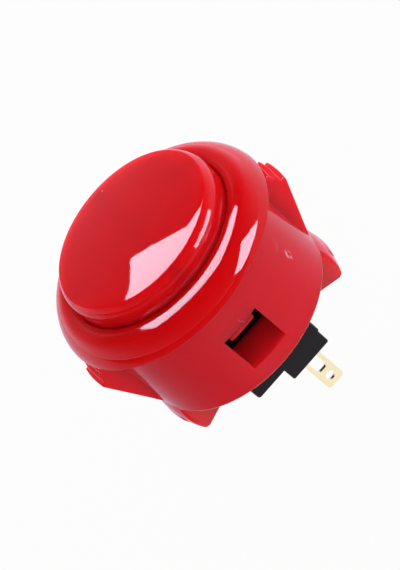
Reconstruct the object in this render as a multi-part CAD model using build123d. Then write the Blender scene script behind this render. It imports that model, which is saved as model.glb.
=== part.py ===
"""Snap-in arcade push button with its own leaf switch.

Millimetres. The origin is on the button's axis in the plane of the panel's face, where the
rim's underside rests. +Z points out of the panel, through the plunger. The snap wings are on
the X axis, and the windows for the plunger's hooks are on the Y axis.
"""
import os
from math import asin, atan2, cos, degrees, radians, sin

from build123d import *

# Rim and barrel
barrel_radius = 14.3
barrel_wall = 1.75
rim_overhang = 2.4
rim_height = 3.6
rim_lip_round = 0.9
rim_crest_round = 2.25
rim_crest_end = 45.0
barrel_skirt = 1.1
barrel_edge_bevel = 0.25

# Plunger
plunger_clearance = 0.15
plunger_rise = 2.9
plunger_straight_rise = 1.4
plunger_side_sweep = 2.2
side_sweep_end = 45.0
plunger_edge_round = 0.45
edge_round_end = 82.5
plunger_brow = 17.5
brow_end = 86.1
plunger_wall = 1.4
cap_thickness = 1.5
cap_inner_bevel = 0.6
travel = 3.0
skirt_depth = 3.0
leg_slot_width = 0.8
leg_slot_height = 3.6
push_post_radius = 2.6
push_post_bore = 1.3
push_post_bore_depth = 4.0
gusset_thickness = 1.0
gusset_height = 3.2
push_gap = 0.1

# Windows and the plunger's hooks
window_width = 5.8
window_top_depth = 5.7
window_height = 6.2
hook_side_gap = 0.85
hook_top_gap = 0.08
hook_height = 1.05
hook_inset = 0.15
hook_chamfer = 0.45
hook_corner_round = 0.5

# Snap wings
wing_width = 5.0
wing_slot = 0.7
wing_top_depth = 2.1
wing_root_height = 0.4
wing_toe_rise = 1.05
tooth_count = 2
tooth_rise = 1.0
tooth_run = 0.6
wing_shoulder = 2.2
wing_tip_land = 0.5
wing_sink = 0.1
bead_height = 2.6
bead_width = 6.6
bead_proud = 0.45
bead_drop = 2.4

# Housing floor and feet
floor_thickness = 1.5
foot_drop = 5.1
foot_half_angle = 21.0
foot_wall = 1.5
foot_root_inset = 0.55
foot_swell = 0.32
foot_swell_drop = 2.4
foot_taper = 0.3
foot_edge_round = 0.5
pocket_clearance = 0.13

# Switch case
switch_width = 11.7
switch_length = 15.4
switch_depth = 7.3
switch_wall = 1.0
neck_shoulder = 0.7
neck_sink = 0.4
neck_clearance = 0.1
plinth_height = 2.3
lip_height = 1.0
lip_thickness = 0.6
lip_clearance = 0.05
collar_wall = 1.1
collar_height = 1.9
case_corner_round = 0.5
block_drop = 2.2
block_width = 6.65
block_side_inset = 0.25
block_length = 4.7
block_edge_round = 0.3
case_bottom_round = 0.24
snap_rib_radius = 0.4
snap_rib_length = 4.0
snap_rib_depth = 4.1

# Terminals and contacts
blade_width = 2.8
blade_thickness = 0.5
blade_length = 7.0
blade_tip_round = 0.55
blade_slot_width = 1.6
blade_slot_length = 4.0
blade_slot_round = 0.5
blade_hole_radius = 0.68
blade_hole_from_tip = 1.5
tongue_width = 1.25
tongue_height = 2.0
strip_width = 0.7
strip_clearance = 0.085
post_width = 1.0
post_gap = 0.35
post_height = 5.1
leaf_thickness = 0.2
leaf_weld = 0.6
leaf_height = 4.1
leaf_arm_height = 2.6
contact_radius = 0.5
contact_thickness = 0.3
contact_bevel = 0.12
contact_lever = 2.6

# Switch actuator and return spring
actuator_radius = 2.0
actuator_clearance = 0.1
actuator_top_bevel = 0.4
flange_radius = 2.9
flange_thickness = 0.8
flange_gap = 0.1
stem_radius = 1.5
stem_length = 2.1
cam_width = 0.8
cam_gap = 0.15
spring_wire_radius = 0.175
spring_turns = 5.0
spring_wire_sides = 8
spring_stem_gap = 0.37
seat_ring_gap = 0.17
seat_ring_wall = 0.5
seat_ring_height = 0.5

# Overshoot of cuts, quarter and half turns, and the turn that keeps seams clear of the wings
cut_margin = 1.0
quarter_turn = 90.0
half_turn = 180.0
seam_turn = 45.0

# Radii worked out from the sizes above
bore_radius = barrel_radius - barrel_wall
rim_radius = barrel_radius + rim_overhang
rim_crest_radius = bore_radius + rim_lip_round
plunger_radius = bore_radius - plunger_clearance
hook_radius = barrel_radius - hook_inset
hook_width = window_width - 2 * hook_side_gap
wing_tip_radius = barrel_radius + wing_shoulder + tooth_count * tooth_run
spring_radius = stem_radius + spring_stem_gap + spring_wire_radius
seat_ring_radius = spring_radius + spring_wire_radius + seat_ring_gap
collar_bore = actuator_radius + actuator_clearance
collar_radius = collar_bore + collar_wall

# Heights worked out from the sizes above
plunger_top = rim_height + plunger_rise
window_top = -window_top_depth
floor_top = window_top - window_height
floor_bottom = floor_top - floor_thickness
barrel_bottom = floor_bottom - barrel_skirt
foot_bottom = barrel_bottom - foot_drop
wing_root = floor_top + wing_root_height
case_seat = floor_bottom
neck_top = floor_top - neck_sink
collar_top = neck_top + collar_height
case_bottom = case_seat - switch_depth
seam = case_bottom + plinth_height
case_floor = case_bottom + switch_wall
case_ceiling = neck_top - switch_wall
block_bottom = case_bottom - block_drop
blade_tip = block_bottom - blade_length
flange_top = case_ceiling - flange_gap
flange_bottom = flange_top - flange_thickness
push_post_bottom = collar_top + travel + push_gap + push_gap
actuator_top = push_post_bottom - push_gap
leaf_hinge = case_floor + tongue_height
contact_level = leaf_hinge + contact_lever

# Places of the blades: one at the front right, its twin turned half round the axis
block_right = switch_width / 2 - block_side_inset
block_left = block_right - block_width
block_front = -switch_length / 2
blade_x = (block_left + block_right) / 2
blade_y = block_front + block_length / 2
blade_left = blade_x - blade_width / 2
blade_right = blade_x + blade_width / 2
blade_front = blade_y - blade_thickness / 2
blade_back = blade_y + blade_thickness / 2
post_front = blade_back + post_gap


def section(*points):
    """A closed straight-sided face in the XZ plane, from (radius, height) points."""
    return make_face(Polyline(*[(r, 0, z) for r, z in points], close=True))


def block(x0, x1, y0, y1, z0, z1):
    """A box between two corners."""
    centre = Pos((x0 + x1) / 2, (y0 + y1) / 2, (z0 + z1) / 2)
    return centre * Box(x1 - x0, y1 - y0, z1 - z0)


def column(radius, z0, z1):
    """A round post on the axis."""
    return Pos(0, 0, (z0 + z1) / 2) * Cylinder(radius, z1 - z0)


def sector(face, half_angle):
    """A face turned about the axis, the same angle to each side of +X."""
    return Rot(0, 0, -half_angle) * revolve(face, Axis.Z, 2 * half_angle)


def both_sides(solid):
    """A solid and its copy half a turn round the axis."""
    return solid + Rot(0, 0, half_turn) * solid


def rounded_case(width, length, z0, z1):
    """A block on the axis with rounded upright corners."""
    outline = RectangleRounded(width, length, case_corner_round)
    return extrude(Pos(0, 0, z0) * outline, z1 - z0)


def arc_point(centre_r, centre_z, radius, angle):
    """A point on a circle in the XZ plane, the angle in degrees from the outward direction."""
    a = radians(angle)
    return (centre_r + radius * cos(a), 0, centre_z + radius * sin(a))


def barrel_and_rim():
    """The turned form of the housing: barrel wall, rim flank, crest and rounded lip."""
    crest_centre = rim_height - rim_crest_round
    crest_end = arc_point(rim_crest_radius, crest_centre, rim_crest_round, rim_crest_end)
    crest_turn = (rim_crest_end + quarter_turn) / 2
    crest_mid = arc_point(rim_crest_radius, crest_centre, rim_crest_round, crest_turn)
    across = rim_radius - crest_end[0]
    drop = crest_end[2]
    turn = radians(rim_crest_end)
    flank_radius = (across**2 + drop**2) / (2 * (drop * sin(turn) - across * cos(turn)))
    flank_r = crest_end[0] - flank_radius * cos(turn)
    flank_z = crest_end[2] - flank_radius * sin(turn)
    flank_start = degrees(atan2(-flank_z, rim_radius - flank_r))
    flank_mid = arc_point(flank_r, flank_z, flank_radius, (flank_start + rim_crest_end) / 2)
    crest = (rim_crest_radius, 0, rim_height)
    rim_edge = (rim_radius, 0, 0)
    lip_centre = rim_height - rim_lip_round
    lip_mid = arc_point(rim_crest_radius, lip_centre, rim_lip_round, 135)
    lip_end = (bore_radius, 0, lip_centre)
    outline = [
        Polyline(
            lip_end,
            (bore_radius, 0, barrel_bottom),
            (barrel_radius - barrel_edge_bevel, 0, barrel_bottom),
            (barrel_radius, 0, barrel_bottom + barrel_edge_bevel),
            (barrel_radius, 0, 0),
            rim_edge,
        ),
        ThreePointArc(rim_edge, flank_mid, crest_end),
        ThreePointArc(crest_end, crest_mid, crest),
        ThreePointArc(crest, lip_mid, lip_end),
    ]
    return Rot(0, 0, seam_turn) * revolve(make_face(outline), Axis.Z)


def wing_slot_cut():
    """The narrow slot round three sides of one wing, which frees it to bend."""
    inside = bore_radius - cut_margin
    reach = barrel_radius + cut_margin
    half_wing = wing_width / 2
    half_slot = half_wing + wing_slot
    wing_top = -wing_top_depth
    around = block(inside, reach, -half_slot, half_slot, wing_root, wing_top + wing_slot)
    return around - block(inside, reach, -half_wing, half_wing, wing_root, wing_top)


def wing_wedge():
    """The wedge on the outside of one wing: a shoulder and two teeth, each for one panel thickness."""
    mid_wall = barrel_radius - barrel_wall / 2
    radius = barrel_radius + wing_shoulder
    height = -wing_top_depth
    points = [(mid_wall, height), (radius, height)]
    for _ in range(tooth_count):
        height -= tooth_rise
        points.append((radius, height))
        radius += tooth_run
        points.append((radius, height))
    flank_end = barrel_bottom + wing_toe_rise
    points.append((radius, height - wing_tip_land))
    points.append((barrel_radius - wing_sink, flank_end))
    points.append((mid_wall, flank_end))
    half = wing_width / 2
    half_angle = degrees(atan2(wing_width, bore_radius))
    slab = block(0, wing_tip_radius + cut_margin, -half, half, barrel_bottom, 0)
    return sector(section(*points), half_angle) & slab


def wing_bead():
    """The swelling below a wing's root, a shallow arc in section."""
    centre_z = barrel_bottom - bead_drop
    mid_wall = barrel_radius - foot_wall / 2
    top = centre_z + bead_height / 2
    bottom = centre_z - bead_height / 2
    crest = (barrel_radius + bead_proud, 0, centre_z)
    outline = [
        ThreePointArc((barrel_radius, 0, top), crest, (barrel_radius, 0, bottom)),
        Polyline(
            (barrel_radius, 0, bottom),
            (mid_wall, 0, bottom),
            (mid_wall, 0, top),
            (barrel_radius, 0, top),
        ),
    ]
    half_angle = degrees(asin(bead_width / 2 / barrel_radius))
    return sector(make_face(outline), half_angle)


def foot():
    """One foot on +X: a cored sector that swells from the barrel and holds the switch's side."""
    inner = switch_width / 2 + pocket_clearance
    mid_floor = floor_bottom + floor_thickness / 2
    root = (barrel_radius - foot_root_inset, 0, mid_floor)
    swell = (barrel_radius + foot_swell, 0, barrel_bottom - foot_swell_drop)
    toe = (barrel_radius - foot_taper, 0, foot_bottom)
    outline = [
        ThreePointArc(root, swell, toe),
        Polyline(toe, (inner / 2, 0, foot_bottom), (inner / 2, 0, mid_floor), root),
    ]
    shell = sector(make_face(outline), foot_half_angle)
    rounded = shell.edges().filter_by(
        lambda e: e.center().Z < barrel_bottom and e.center().X**2 + e.center().Y**2 > bore_radius**2
    )
    shell = fillet(rounded, foot_edge_round)
    core_angle = foot_half_angle - degrees(foot_wall / bore_radius)
    core = sector(
        section(
            (inner + foot_wall, foot_bottom - cut_margin),
            (barrel_radius - foot_wall, foot_bottom - cut_margin),
            (barrel_radius - foot_wall, barrel_bottom - foot_wall),
            (inner + foot_wall, barrel_bottom - foot_wall),
        ),
        core_angle,
    )
    pocket = block(-inner, inner, -barrel_radius, barrel_radius, foot_bottom - cut_margin, floor_bottom)
    groove_radius = snap_rib_radius + pocket_clearance
    groove = Pos(switch_width / 2, 0, case_seat - snap_rib_depth) * Rot(quarter_turn, 0, 0) * Cylinder(
        groove_radius, 2 * barrel_radius
    )
    return shell - core - pocket - groove


def make_housing():
    """Rim, barrel, floor, snap wings and feet, moulded as one piece."""
    body = barrel_and_rim()
    reach = barrel_radius + cut_margin
    inside = bore_radius - cut_margin
    half_window = window_width / 2
    body -= both_sides(block(-half_window, half_window, -reach, -inside, floor_top, window_top))
    body -= both_sides(wing_slot_cut())
    body += both_sides(wing_wedge())
    body += column(barrel_radius - barrel_wall / 2, floor_bottom, floor_top)
    body += both_sides(foot())
    body += both_sides(wing_bead())
    neck_x = switch_width / 2 - neck_shoulder + neck_clearance
    neck_y = switch_length / 2 + neck_clearance
    return body - block(-neck_x, neck_x, -neck_y, neck_y, floor_bottom, floor_top + cut_margin)


def plunger_shell():
    """The cap, from its straight side over a sweep, an edge round and a brow to the dome."""
    inner = plunger_radius - plunger_wall
    under = plunger_top - cap_thickness
    side_top = (plunger_radius, 0, rim_height + plunger_straight_rise)
    here = side_top
    angle = 0.0
    outline = []
    sweeps = [
        (plunger_side_sweep, side_sweep_end),
        (plunger_edge_round, edge_round_end),
        (plunger_brow, brow_end),
    ]
    for radius, turn_end in sweeps:
        centre_r = here[0] - radius * cos(radians(angle))
        centre_z = here[2] - radius * sin(radians(angle))
        middle = arc_point(centre_r, centre_z, radius, (angle + turn_end) / 2)
        after = arc_point(centre_r, centre_z, radius, turn_end)
        outline.append(ThreePointArc(here, middle, after))
        here = after
        angle = turn_end
    dome_radius = here[0] / cos(radians(angle))
    dome_centre = here[2] - dome_radius * sin(radians(angle))
    dome_mid = arc_point(0, dome_centre, dome_radius, (angle + quarter_turn) / 2)
    crown = (0, 0, dome_centre + dome_radius)
    outline.append(ThreePointArc(here, dome_mid, crown))
    outline.append(
        Polyline(
            crown,
            (0, 0, under),
            (inner - cap_inner_bevel, 0, under),
            (inner, 0, under - cap_inner_bevel),
            (inner, 0, -skirt_depth),
            (plunger_radius, 0, -skirt_depth),
            side_top,
        )
    )
    return Rot(0, 0, seam_turn) * revolve(make_face(outline), Axis.Z)


def hook_leg():
    """One springy leg on -Y with the hook that shows in the window."""
    hook_top = window_top - hook_top_gap
    hook_bottom = hook_top - hook_height
    inner = plunger_radius - plunger_wall
    slot_top = -skirt_depth + leg_slot_height
    ring = revolve(
        section(
            (inner, slot_top),
            (plunger_radius, slot_top),
            (plunger_radius, hook_top),
            (hook_radius, hook_top),
            (hook_radius, hook_bottom + hook_chamfer),
            (hook_radius - hook_chamfer, hook_bottom),
            (inner, hook_bottom),
        ),
        Axis.Z,
    )
    half = hook_width / 2
    slab = block(-half, half, -barrel_radius, 0, hook_bottom, slot_top)
    lower = slab.edges().filter_by(Axis.Y).group_by(Axis.Z)[0]
    return ring & fillet(lower, hook_corner_round)


def make_plunger():
    """Cap, skirt, two hook legs, push post and its gussets, moulded as one piece."""
    body = plunger_shell()
    half = hook_width / 2
    for side in (-1, 1):
        centre = side * (half + leg_slot_width / 2)
        slot = block(
            centre - leg_slot_width / 2,
            centre + leg_slot_width / 2,
            -plunger_radius - cut_margin,
            -plunger_radius / 2,
            -skirt_depth - cut_margin,
            -skirt_depth + leg_slot_height,
        )
        body -= both_sides(slot)
    body += both_sides(hook_leg())
    under = plunger_top - cap_thickness
    inner = plunger_radius - plunger_wall / 2
    half_rib = gusset_thickness / 2
    rib = block(-inner, inner, -half_rib, half_rib, under - gusset_height, under + cap_thickness / 2)
    body += rib + Rot(0, 0, quarter_turn) * rib
    body += column(push_post_radius, push_post_bottom, under + cap_thickness / 2)
    bore_top = push_post_bottom + push_post_bore_depth
    return body - column(push_post_bore, push_post_bottom - cut_margin, bore_top)


def make_switch_cover():
    """The upper half of the switch case, with the collar that guides the actuator."""
    neck_width = switch_width - 2 * neck_shoulder
    body = rounded_case(switch_width, switch_length, seam, case_seat)
    body += rounded_case(neck_width, switch_length, case_seat - switch_wall, neck_top)
    body += column(collar_radius, neck_top - switch_wall / 2, collar_top)
    rib = Pos(switch_width / 2, 0, case_seat - snap_rib_depth) * Rot(quarter_turn, 0, 0) * Cylinder(
        snap_rib_radius, snap_rib_length
    )
    body += both_sides(rib)
    room_x = switch_width / 2 - switch_wall
    room_y = switch_length / 2 - switch_wall
    neck_x = neck_width / 2 - switch_wall
    body -= block(-room_x, room_x, -room_y, room_y, seam - cut_margin, case_seat - switch_wall)
    body -= block(-neck_x, neck_x, -room_y, room_y, seam - cut_margin, case_ceiling)
    return body - column(collar_bore, case_ceiling - cut_margin, collar_top + cut_margin)


def terminal_block():
    """The raised block round one blade, on the underside of the case."""
    body = block(
        block_left,
        block_right,
        block_front,
        block_front + block_length,
        block_bottom,
        case_bottom + switch_wall / 2,
    )
    upright = body.edges().filter_by(Axis.Z)
    body = fillet(upright, block_edge_round)
    return fillet(body.faces().sort_by(Axis.Z)[0].edges(), case_bottom_round)


def make_switch_base(blades):
    """The lower half of the switch case: plinth, locating lip, spring seat and blocks."""
    body = rounded_case(switch_width, switch_length, case_bottom, seam)
    body = fillet(body.faces().sort_by(Axis.Z)[0].edges(), case_bottom_round)
    lip_x = switch_width / 2 - switch_wall - lip_clearance
    lip_y = switch_length / 2 - switch_wall - lip_clearance
    body += block(-lip_x, lip_x, -lip_y, lip_y, seam - switch_wall / 2, seam + lip_height)
    room_x = lip_x - lip_thickness
    room_y = lip_y - lip_thickness
    body -= block(-room_x, room_x, -room_y, room_y, case_floor, seam + lip_height + cut_margin)
    ring_top = case_floor + seat_ring_height
    ring = column(seat_ring_radius + seat_ring_wall, case_floor - switch_wall / 2, ring_top)
    body += ring - column(seat_ring_radius, case_floor, ring_top)
    body += both_sides(terminal_block())
    for blade in blades:
        body -= blade
    return body


def terminal_blade():
    """The outside blade of a terminal: forked by a slot, with a wire hole near the rounded tip."""
    height = case_floor - blade_tip
    plate = Pos(blade_x, blade_tip + height / 2) * Rectangle(blade_width, height)
    plate = fillet(plate.vertices().group_by(Axis.Y)[0], blade_tip_round)
    slot = Pos(blade_x, block_bottom - blade_slot_length / 2) * RectangleRounded(
        blade_slot_width, blade_slot_length, blade_slot_round
    )
    hole = Pos(blade_x, blade_tip + blade_hole_from_tip) * Circle(blade_hole_radius)
    outline = plate - slot - hole
    return extrude(Plane.XZ.offset(-blade_front) * outline, -blade_thickness)


def make_common_terminal():
    """The front blade, with the tongue inside the case that carries the leaf."""
    tongue = block(
        blade_left,
        blade_left + tongue_width,
        blade_front,
        blade_back,
        case_floor - switch_wall / 2,
        leaf_hinge,
    )
    return terminal_blade() + tongue


def make_open_terminal():
    """The rear blade, with the strip along the case floor to the fixed contact's post."""
    body = Rot(0, 0, half_turn) * terminal_blade()
    strip_bottom = case_floor - switch_wall / 2
    strip_top = case_floor + blade_thickness
    strip_right = -(seat_ring_radius + seat_ring_wall + strip_clearance)
    strip_left = strip_right - strip_width
    post_back = post_front + blade_thickness
    body += block(-blade_right, -blade_left, -blade_back, -blade_front, strip_bottom, strip_top)
    body += block(strip_left, strip_right, post_front, -blade_front, case_floor, strip_top)
    strip_back = post_back + strip_width / 2
    body += block(strip_left, blade_right, post_front, strip_back, case_floor, strip_top)
    body += block(
        blade_right - post_width,
        blade_right,
        post_front,
        post_back,
        case_floor,
        case_floor + post_height,
    )
    return body


def make_contact(back, direction):
    """A contact rivet's head standing on a strip's face, at the height where the two meet."""
    centre = blade_right - post_width / 2
    head = Cylinder(contact_radius, contact_thickness)
    head = chamfer(head.edges().group_by(Axis.Z)[-1], contact_bevel)
    place = Pos(centre, back + direction * contact_thickness / 2, contact_level)
    return place * Rot(-quarter_turn * direction, 0, 0) * head


def make_contact_leaf():
    """The sprung strip on the common terminal: a narrow root and a wide arm above it."""
    arm_bottom = leaf_hinge + leaf_height - leaf_arm_height
    outline = [
        (blade_left, leaf_hinge - leaf_weld),
        (blade_left + tongue_width, leaf_hinge - leaf_weld),
        (blade_left + tongue_width, arm_bottom),
        (blade_right, arm_bottom),
        (blade_right, leaf_hinge + leaf_height),
        (blade_left, leaf_hinge + leaf_height),
    ]
    return Pos(0, blade_front, 0) * extrude(section(*outline), leaf_thickness, dir=(0, -1, 0))


def make_actuator():
    """The switch's own push pin: head, flange, spring stem and the cam that holds the leaf off."""
    head = column(actuator_radius, flange_top - flange_thickness / 2, actuator_top)
    head = chamfer(head.edges().group_by(Axis.Z)[-1], actuator_top_bevel)
    body = head + column(flange_radius, flange_bottom, flange_top)
    body += column(stem_radius, flange_bottom - stem_length, flange_bottom + flange_thickness / 2)
    cam_nose = blade_front + cam_gap
    return body + block(blade_left, blade_left + cam_width, cam_nose, 0, flange_bottom, flange_top)


def make_return_spring():
    """The coil between the case floor and the actuator's flange."""
    bottom = case_floor + spring_wire_radius
    height = flange_bottom - spring_wire_radius - bottom
    coil = Pos(0, 0, bottom) * Helix(height / spring_turns, height, spring_radius)
    wire = Plane(origin=coil @ 0, z_dir=coil % 0) * RegularPolygon(spring_wire_radius, spring_wire_sides)
    return sweep(wire, path=coil, is_frenet=True)


terminal_common = make_common_terminal()
terminal_open = make_open_terminal()
pieces = {
    "housing": make_housing(),
    "plunger": make_plunger(),
    "switch_cover": make_switch_cover(),
    "switch_base": make_switch_base([terminal_common, terminal_open]),
    "switch_actuator": make_actuator(),
    "return_spring": make_return_spring(),
    "terminal_common": terminal_common,
    "terminal_open": terminal_open,
    "contact_leaf": make_contact_leaf(),
    "moving_contact": make_contact(blade_front, 1),
    "fixed_contact": make_contact(post_front, -1),
}

os.makedirs("parts", exist_ok=True)
for name, solid in pieces.items():
    export_step(solid, f"parts/{name}.step")
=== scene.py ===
"""Dressed scene of the snap-in arcade push button: materials, moulded skins, studio and camera."""
from functools import cached_property
from itertools import product
from math import acos, asin, atan2, cos, degrees, pi, radians, sin

import bmesh
import bpy
from mathutils import Matrix, Vector


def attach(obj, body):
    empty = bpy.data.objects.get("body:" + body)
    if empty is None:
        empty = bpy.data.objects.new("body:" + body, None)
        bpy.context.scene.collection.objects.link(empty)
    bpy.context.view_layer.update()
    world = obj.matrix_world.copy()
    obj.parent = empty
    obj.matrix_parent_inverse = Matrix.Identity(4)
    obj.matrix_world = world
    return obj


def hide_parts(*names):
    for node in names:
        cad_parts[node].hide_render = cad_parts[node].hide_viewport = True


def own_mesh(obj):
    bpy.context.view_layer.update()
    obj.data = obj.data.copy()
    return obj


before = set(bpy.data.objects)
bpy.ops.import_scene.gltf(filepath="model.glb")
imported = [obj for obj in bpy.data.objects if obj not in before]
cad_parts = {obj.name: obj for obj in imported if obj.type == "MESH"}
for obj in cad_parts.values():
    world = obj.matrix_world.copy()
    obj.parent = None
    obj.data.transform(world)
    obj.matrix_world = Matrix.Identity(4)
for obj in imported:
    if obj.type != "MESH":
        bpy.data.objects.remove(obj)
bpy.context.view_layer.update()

# Sizes of the object are in millimetres, and those of the studio in metres
MM = 0.001

# Slack in comparing millimetres or radians, and the least divisor
NEAR = 1e-6
TINY = 1e-9

WHITE = (1.0, 1.0, 1.0)

# Sockets of a Mix node that mixes colours
MIX_SHARE, MIX_FIRST, MIX_SECOND, MIX_RESULT = 0, 6, 7, 2

# The range that most of a noise lies in
NOISE_RANGE = (0.3, 0.7)

# Streaks of wear and of painted light: the noise of their ragged edge and its reach, their least depth in
# millimetres, and the share of the width that has full strength
RAG_NOISE = (7000.0, 2.0)
RAG = 0.3
STREAK_DEPTH = 0.2
STREAK_CORE = 0.5


class Nodes:
    """A node tree whose nodes are added and joined in order."""

    def __init__(self, tree):
        self.tree = tree

    def add(self, kind, links=None, **values):
        """A new node, with values for its settings and inputs, and links into its inputs."""
        node = self.tree.nodes.new(kind)
        for key, value in values.items():
            if hasattr(node, key):
                setattr(node, key, value)
            else:
                node.inputs[key.replace("_", " ")].default_value = value
        for key, source in (links or {}).items():
            self.tree.links.new(source, node.inputs[key])
        return node

    def math(self, operation, first, second):
        """One value worked out from two."""
        return self.add("ShaderNodeMath", {0: first, 1: second}, operation=operation).outputs[0]

    def ramp(self, source, low, high, to_low, to_high):
        """A value carried from one range to another, held at the ends."""
        limits = {"From_Min": low, "From_Max": high, "To_Min": to_low, "To_Max": to_high}
        return self.add("ShaderNodeMapRange", {"Value": source}, **limits).outputs["Result"]

    def blend(self, share, first, second):
        """A mix of two colours, each a plain colour or the output of a node."""
        node = self.add("ShaderNodeMix", {MIX_SHARE: share}, data_type="RGBA")
        for socket, colour in ((MIX_FIRST, first), (MIX_SECOND, second)):
            if isinstance(colour, tuple):
                node.inputs[socket].default_value = (*colour, 1.0)
            else:
                self.tree.links.new(colour, node.inputs[socket])
        return node.outputs[MIX_RESULT]

    def levels(self, source, stops, tint=WHITE):
        """Levels of a tint along a value from 0 to 1."""
        node = self.add("ShaderNodeValToRGB", {"Fac": source})
        ramp = node.color_ramp.elements
        while len(ramp) < len(stops):
            ramp.new(0.5)
        for stop, (position, grey) in zip(ramp, stops):
            stop.position = position
            stop.color = (*[grey * c for c in tint], 1.0)
        return node.outputs["Color"]


class Shader(Nodes):
    """A procedural material with one surface."""

    def __init__(self, name):
        self.material = bpy.data.materials.new(name)
        self.material.use_nodes = True
        super().__init__(self.material.node_tree)
        self.surface = self.tree.nodes["Principled BSDF"]

    @cached_property
    def place(self):
        """The point's place in the object's own frame, in metres."""
        return self.add("ShaderNodeTexCoord").outputs["Object"]

    def noise(self, scale, detail, stretch=(1.0, 1.0, 1.0)):
        """Noise with its scale in features a metre."""
        spot = self.add("ShaderNodeMapping", {"Vector": self.place}, Scale=stretch).outputs["Vector"]
        return self.add("ShaderNodeTexNoise", {"Vector": spot}, Scale=scale, Detail=detail).outputs["Fac"]

    def varied(self, noise, low, high):
        """A value between two limits that follows a noise."""
        return self.ramp(noise, *NOISE_RANGE, low, high)

    def bump(self, source, depth, strength, before=None):
        """A relief of the given depth in metres."""
        links = {"Height": source}
        if before is not None:
            links["Normal"] = before
        return self.add("ShaderNodeBump", links, Distance=depth, Strength=strength).outputs["Normal"]

    def streaks(self, marks):
        """The strongest of several ragged streaks, each between two points in millimetres."""
        rag = self.varied(self.noise(*RAG_NOISE), -RAG, RAG)
        most = None
        for start, end, half, strength in marks:
            middle = (Vector(start) + Vector(end)) / 2
            run = Vector(end) - Vector(start)
            turn = atan2(middle.y, middle.x)
            tilt = atan2(run.z, run.y * cos(turn) - run.x * sin(turn))
            local = self.add("ShaderNodeMapping", {"Vector": self.place}, vector_type="TEXTURE")
            local.inputs["Location"].default_value = middle * MM
            local.inputs["Rotation"].default_value = (tilt, 0.0, turn)
            reach = Vector((max(half, STREAK_DEPTH), run.length / 2 + half, half))
            local.inputs["Scale"].default_value = reach * MM
            away = self.add("ShaderNodeVectorMath", {0: local.outputs["Vector"]}, operation="LENGTH")
            ragged = self.math("ADD", away.outputs["Value"], rag)
            one = self.ramp(ragged, STREAK_CORE, 1.0, strength, 0.0)
            most = one if most is None else self.math("MAXIMUM", most, one)
        return most

    def join(self, **sources):
        """Links into the surface's inputs."""
        for key, source in sources.items():
            self.tree.links.new(source, self.surface.inputs[key.replace("_", " ")])

    def set(self, **values):
        """Values of the surface's inputs that are the same all over."""
        for key, value in values.items():
            self.surface.inputs[key.replace("_", " ")].default_value = value

    def show(self, shader):
        """Another shader's node in place of the plain surface."""
        self.tree.links.new(shader.outputs[0], self.tree.nodes["Material Output"].inputs["Surface"])


# Reds of the mouldings as pairs of shades: the plunger's; the rim's, made darker as painted shade; and the
# barrel's, whose cooler tint is partly painted reflection. Then the pale of wear, of a painted glint and of
# a painted reflection, their inner glow and their sheen
RED = ((0.60, 0.0040, 0.0070), (0.67, 0.0052, 0.0090))
# Painted shade: the rim's red is darker than the barrel's because the lamps light the rim more
SHADED_RIM_RED = ((0.555, 0.0028, 0.0045), (0.62, 0.0036, 0.0057))
# The barrel's red, whose cooler tint is partly its own colour and partly a painted reflection veil
SATIN_RED_AND_REFLECTION = ((0.615, 0.0085, 0.0150), (0.69, 0.0105, 0.0185))
# Pale of scratches and specks, also used for a painted glint and a painted reflection on the barrel
PALE_WEAR_GLINT_AND_REFLECTION = (0.86, 0.50, 0.56)
GLOW = {"Subsurface_Weight": 1.0, "Subsurface_Radius": (1.0, 0.15, 0.1), "Subsurface_Scale": 0.006}
SHEEN = {"Sheen_Weight": 0.1, "Sheen_Roughness": 0.35, "Sheen_Tint": (0.8, 0.72, 1.0, 1.0)}

# Noises as (features a metre, detail), reliefs as (depth in metres, strength), and ranges of
# roughness, or how far it spreads to either side
CLOUD = (140.0, 3.0)
RIPPLE = (420.0, 2.0)
RIPPLE_RELIEF = (0.00002, 0.12)
CAP_SMUDGE = (900.0, 4.0)
CAP_ROUGH = (0.014, 0.028)
RIM_SMUDGE = (1600.0, 4.0)
RIM_ROUGH = (0.04, 0.06)
BARREL_SMUDGE = (2600.0, 4.0)
BARREL_ROUGH = (0.11, 0.16)
BARREL_GRAIN = (3800.0, 3.0)
BARREL_RELIEF = (0.000012, 0.15)
WEAR_RELIEF = (0.00004, 0.6)
PLASTIC_IOR = 1.5
BLACK_CLOUD = (300.0, 3.0)
BLACK_DARKER = 0.8
BLACK_SMUDGE = (1800.0, 4.0)
BLACK_SPREAD = 0.06
BLACK_GRAIN = (5200.0, 3.0)
BLACK_RELIEF = (0.00001, 0.25)
METAL_CLOUD = (500.0, 3.0)
METAL_LINES = (900.0, 4.0)
METAL_SPREAD = 0.07
METAL_RELIEF = (0.000006, 0.2)

# Stretch of a metal's noise, drawn along Z or the same all ways
DRAWN = (6.0, 6.0, 0.3)
EVEN = (1.0, 1.0, 1.0)

# Wear and painted light, as streaks with two ends, a half width and a strength
# A nick: chips in relief whose pale colour is partly a painted glint
NICK_AND_GLINT = (
    ((10.64, -9.56, -6.70), (10.30, -9.93, -7.31), 0.24, 0.6),
    ((10.90, -9.25, -7.05), (10.88, -9.28, -7.80), 0.10, 0.4),
    ((10.45, -9.76, -7.42), (10.37, -9.85, -7.74), 0.16, 0.45),
    ((10.59, -9.61, -7.88), (10.50, -9.71, -8.07), 0.20, 0.5),
)
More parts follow.
